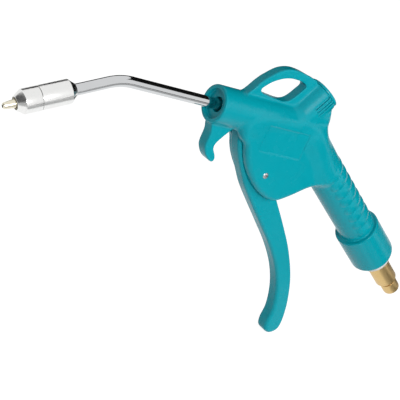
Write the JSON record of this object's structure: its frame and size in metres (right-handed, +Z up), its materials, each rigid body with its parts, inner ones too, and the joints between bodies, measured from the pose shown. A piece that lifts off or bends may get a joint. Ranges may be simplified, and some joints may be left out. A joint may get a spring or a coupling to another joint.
{
  "type": "compressed air duster",
  "caption": "Pistol-shaped compressed air duster with a squeeze lever, hanging loop, hook, ribbed grip, bent chrome tube and slotted aluminium nozzle.",
  "frame": {"origin": "centre of the barrel's front face, on the nozzle tube's straight axis", "axes": "+X along the barrel towards the rear, +Z up, +Y to complete a right-handed frame; the handle runs 33 degrees below +X"},
  "size_m": [0.3384, 0.029, 0.1676],
  "materials": {
    "teal_plastic": "satin moulded ABS",
    "lever_plastic": "satin moulded ABS",
    "cap_plastic": "satin moulded ABS",
    "chrome": "bright chrome plate",
    "aluminium": "fine turned",
    "brass": "turned",
    "plug_brass": "bright turned, slightly dulled",
    "rubber": "matt nitrile",
    "white_plastic": "moulded nylon",
    "steel": "ground"
  },
  "bodies": {
    "body": {"body_shell": "teal_plastic", "barrel_insert": "brass", "nozzle_tube": "chrome", "tube_seal": "rubber", "nozzle_body": "aluminium", "nozzle_cap": "aluminium", "nozzle_tip": "brass", "rear_cap": "cap_plastic", "rear_cap_seal": "rubber", "valve_sleeve": "brass", "sleeve_seals": "rubber", "gland_bush": "brass", "stem_seal": "rubber", "valve_spring": "steel", "pivot_pin": "steel", "inlet_insert": "brass", "sealing_washer": "white_plastic", "air_plug": "plug_brass"},
    "valve": {"valve_stem": "steel", "poppet_seal": "rubber", "spring_retainer": "steel"},
    "lever": {"lever": "lever_plastic"}
  },
  "joints": [
    {"name": "lever_squeeze", "type": "hinge", "parent": "body", "child": "lever", "pos_m": [0.04941, 0, -0.03173], "axis": [0, -1, 0], "range_deg": [0, 16], "stiffness_Nm_per_rad": 1.2, "springref_deg": -17.19},
    {"name": "valve_pull", "type": "slide", "parent": "body", "child": "valve", "axis": [-0.5446, 0, -0.8387], "range_m": [0, 0.0024], "deforming": ["valve_spring"]}
  ],
  "couplings": [
    {"joint": "valve_pull", "follows": "lever_squeeze", "m_per_rad": 0.0079}
  ]
}
